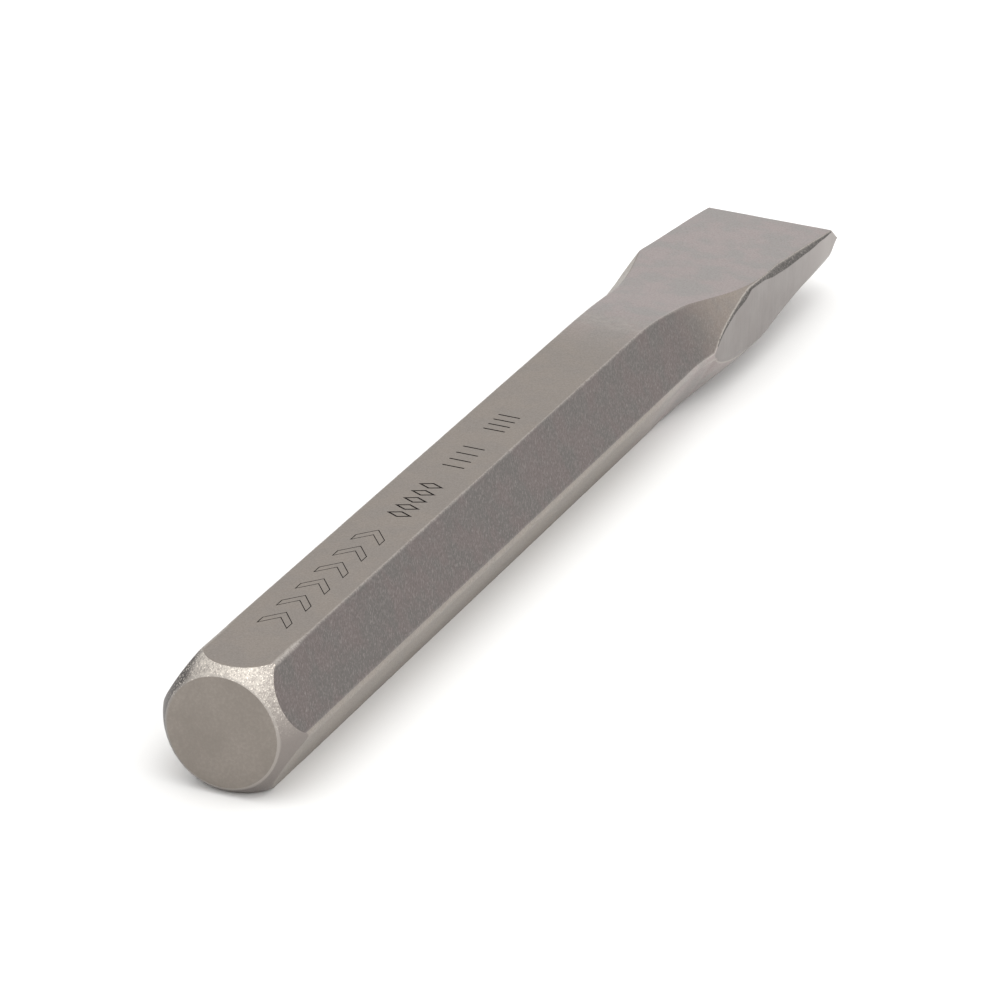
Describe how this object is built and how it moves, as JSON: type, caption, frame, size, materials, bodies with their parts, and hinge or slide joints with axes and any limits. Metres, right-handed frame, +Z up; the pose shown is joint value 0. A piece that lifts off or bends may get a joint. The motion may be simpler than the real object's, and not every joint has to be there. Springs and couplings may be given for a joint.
{
  "type": "cold chisel",
  "caption": "One-piece cold chisel forged from hexagonal bar, with a crowned striking head, a plain hexagonal shank and a flat wedge blade ground to a straight cutting edge.",
  "frame": {"origin": "middle of the tool's length and width, on the surface that its lower flat rests on", "axes": "+X along the bar from the striking face to the cutting edge, +Y across the blade's width, +Z up through the blade's thickness"},
  "size_m": [0.1778, 0.0194, 0.0159],
  "materials": {
    "forged_steel": "dull warm-grey tool steel, fine shot-blasted grain on the flats, brighter turned crown and ground blade sides"
  },
  "bodies": {
    "root": {"chisel": "forged_steel"}
  },
  "joints": []
}
